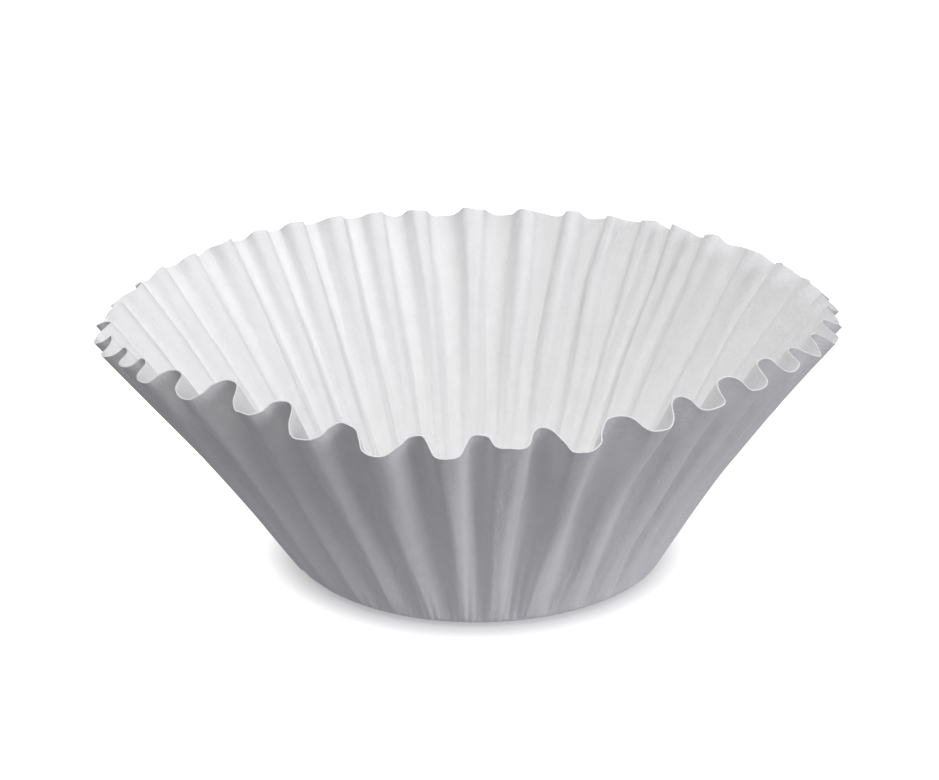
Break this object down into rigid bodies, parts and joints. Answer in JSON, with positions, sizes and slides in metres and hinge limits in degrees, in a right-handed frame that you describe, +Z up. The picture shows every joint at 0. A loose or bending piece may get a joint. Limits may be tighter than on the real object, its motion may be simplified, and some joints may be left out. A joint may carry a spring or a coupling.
{
  "type": "paper coffee filter",
  "caption": "Basket-style paper coffee filter: a flat round base and a leaning wall gathered into soft flutes, ending in a ruffled rim.",
  "frame": {"origin": "centre of the base's underside", "axes": "+Z up through the open mouth, -Y towards the front, +X to the right"},
  "size_m": [0.1584, 0.1559, 0.0588],
  "materials": {
    "paper": "matte"
  },
  "bodies": {
    "root": {"filter_paper": "paper"}
  },
  "joints": []
}
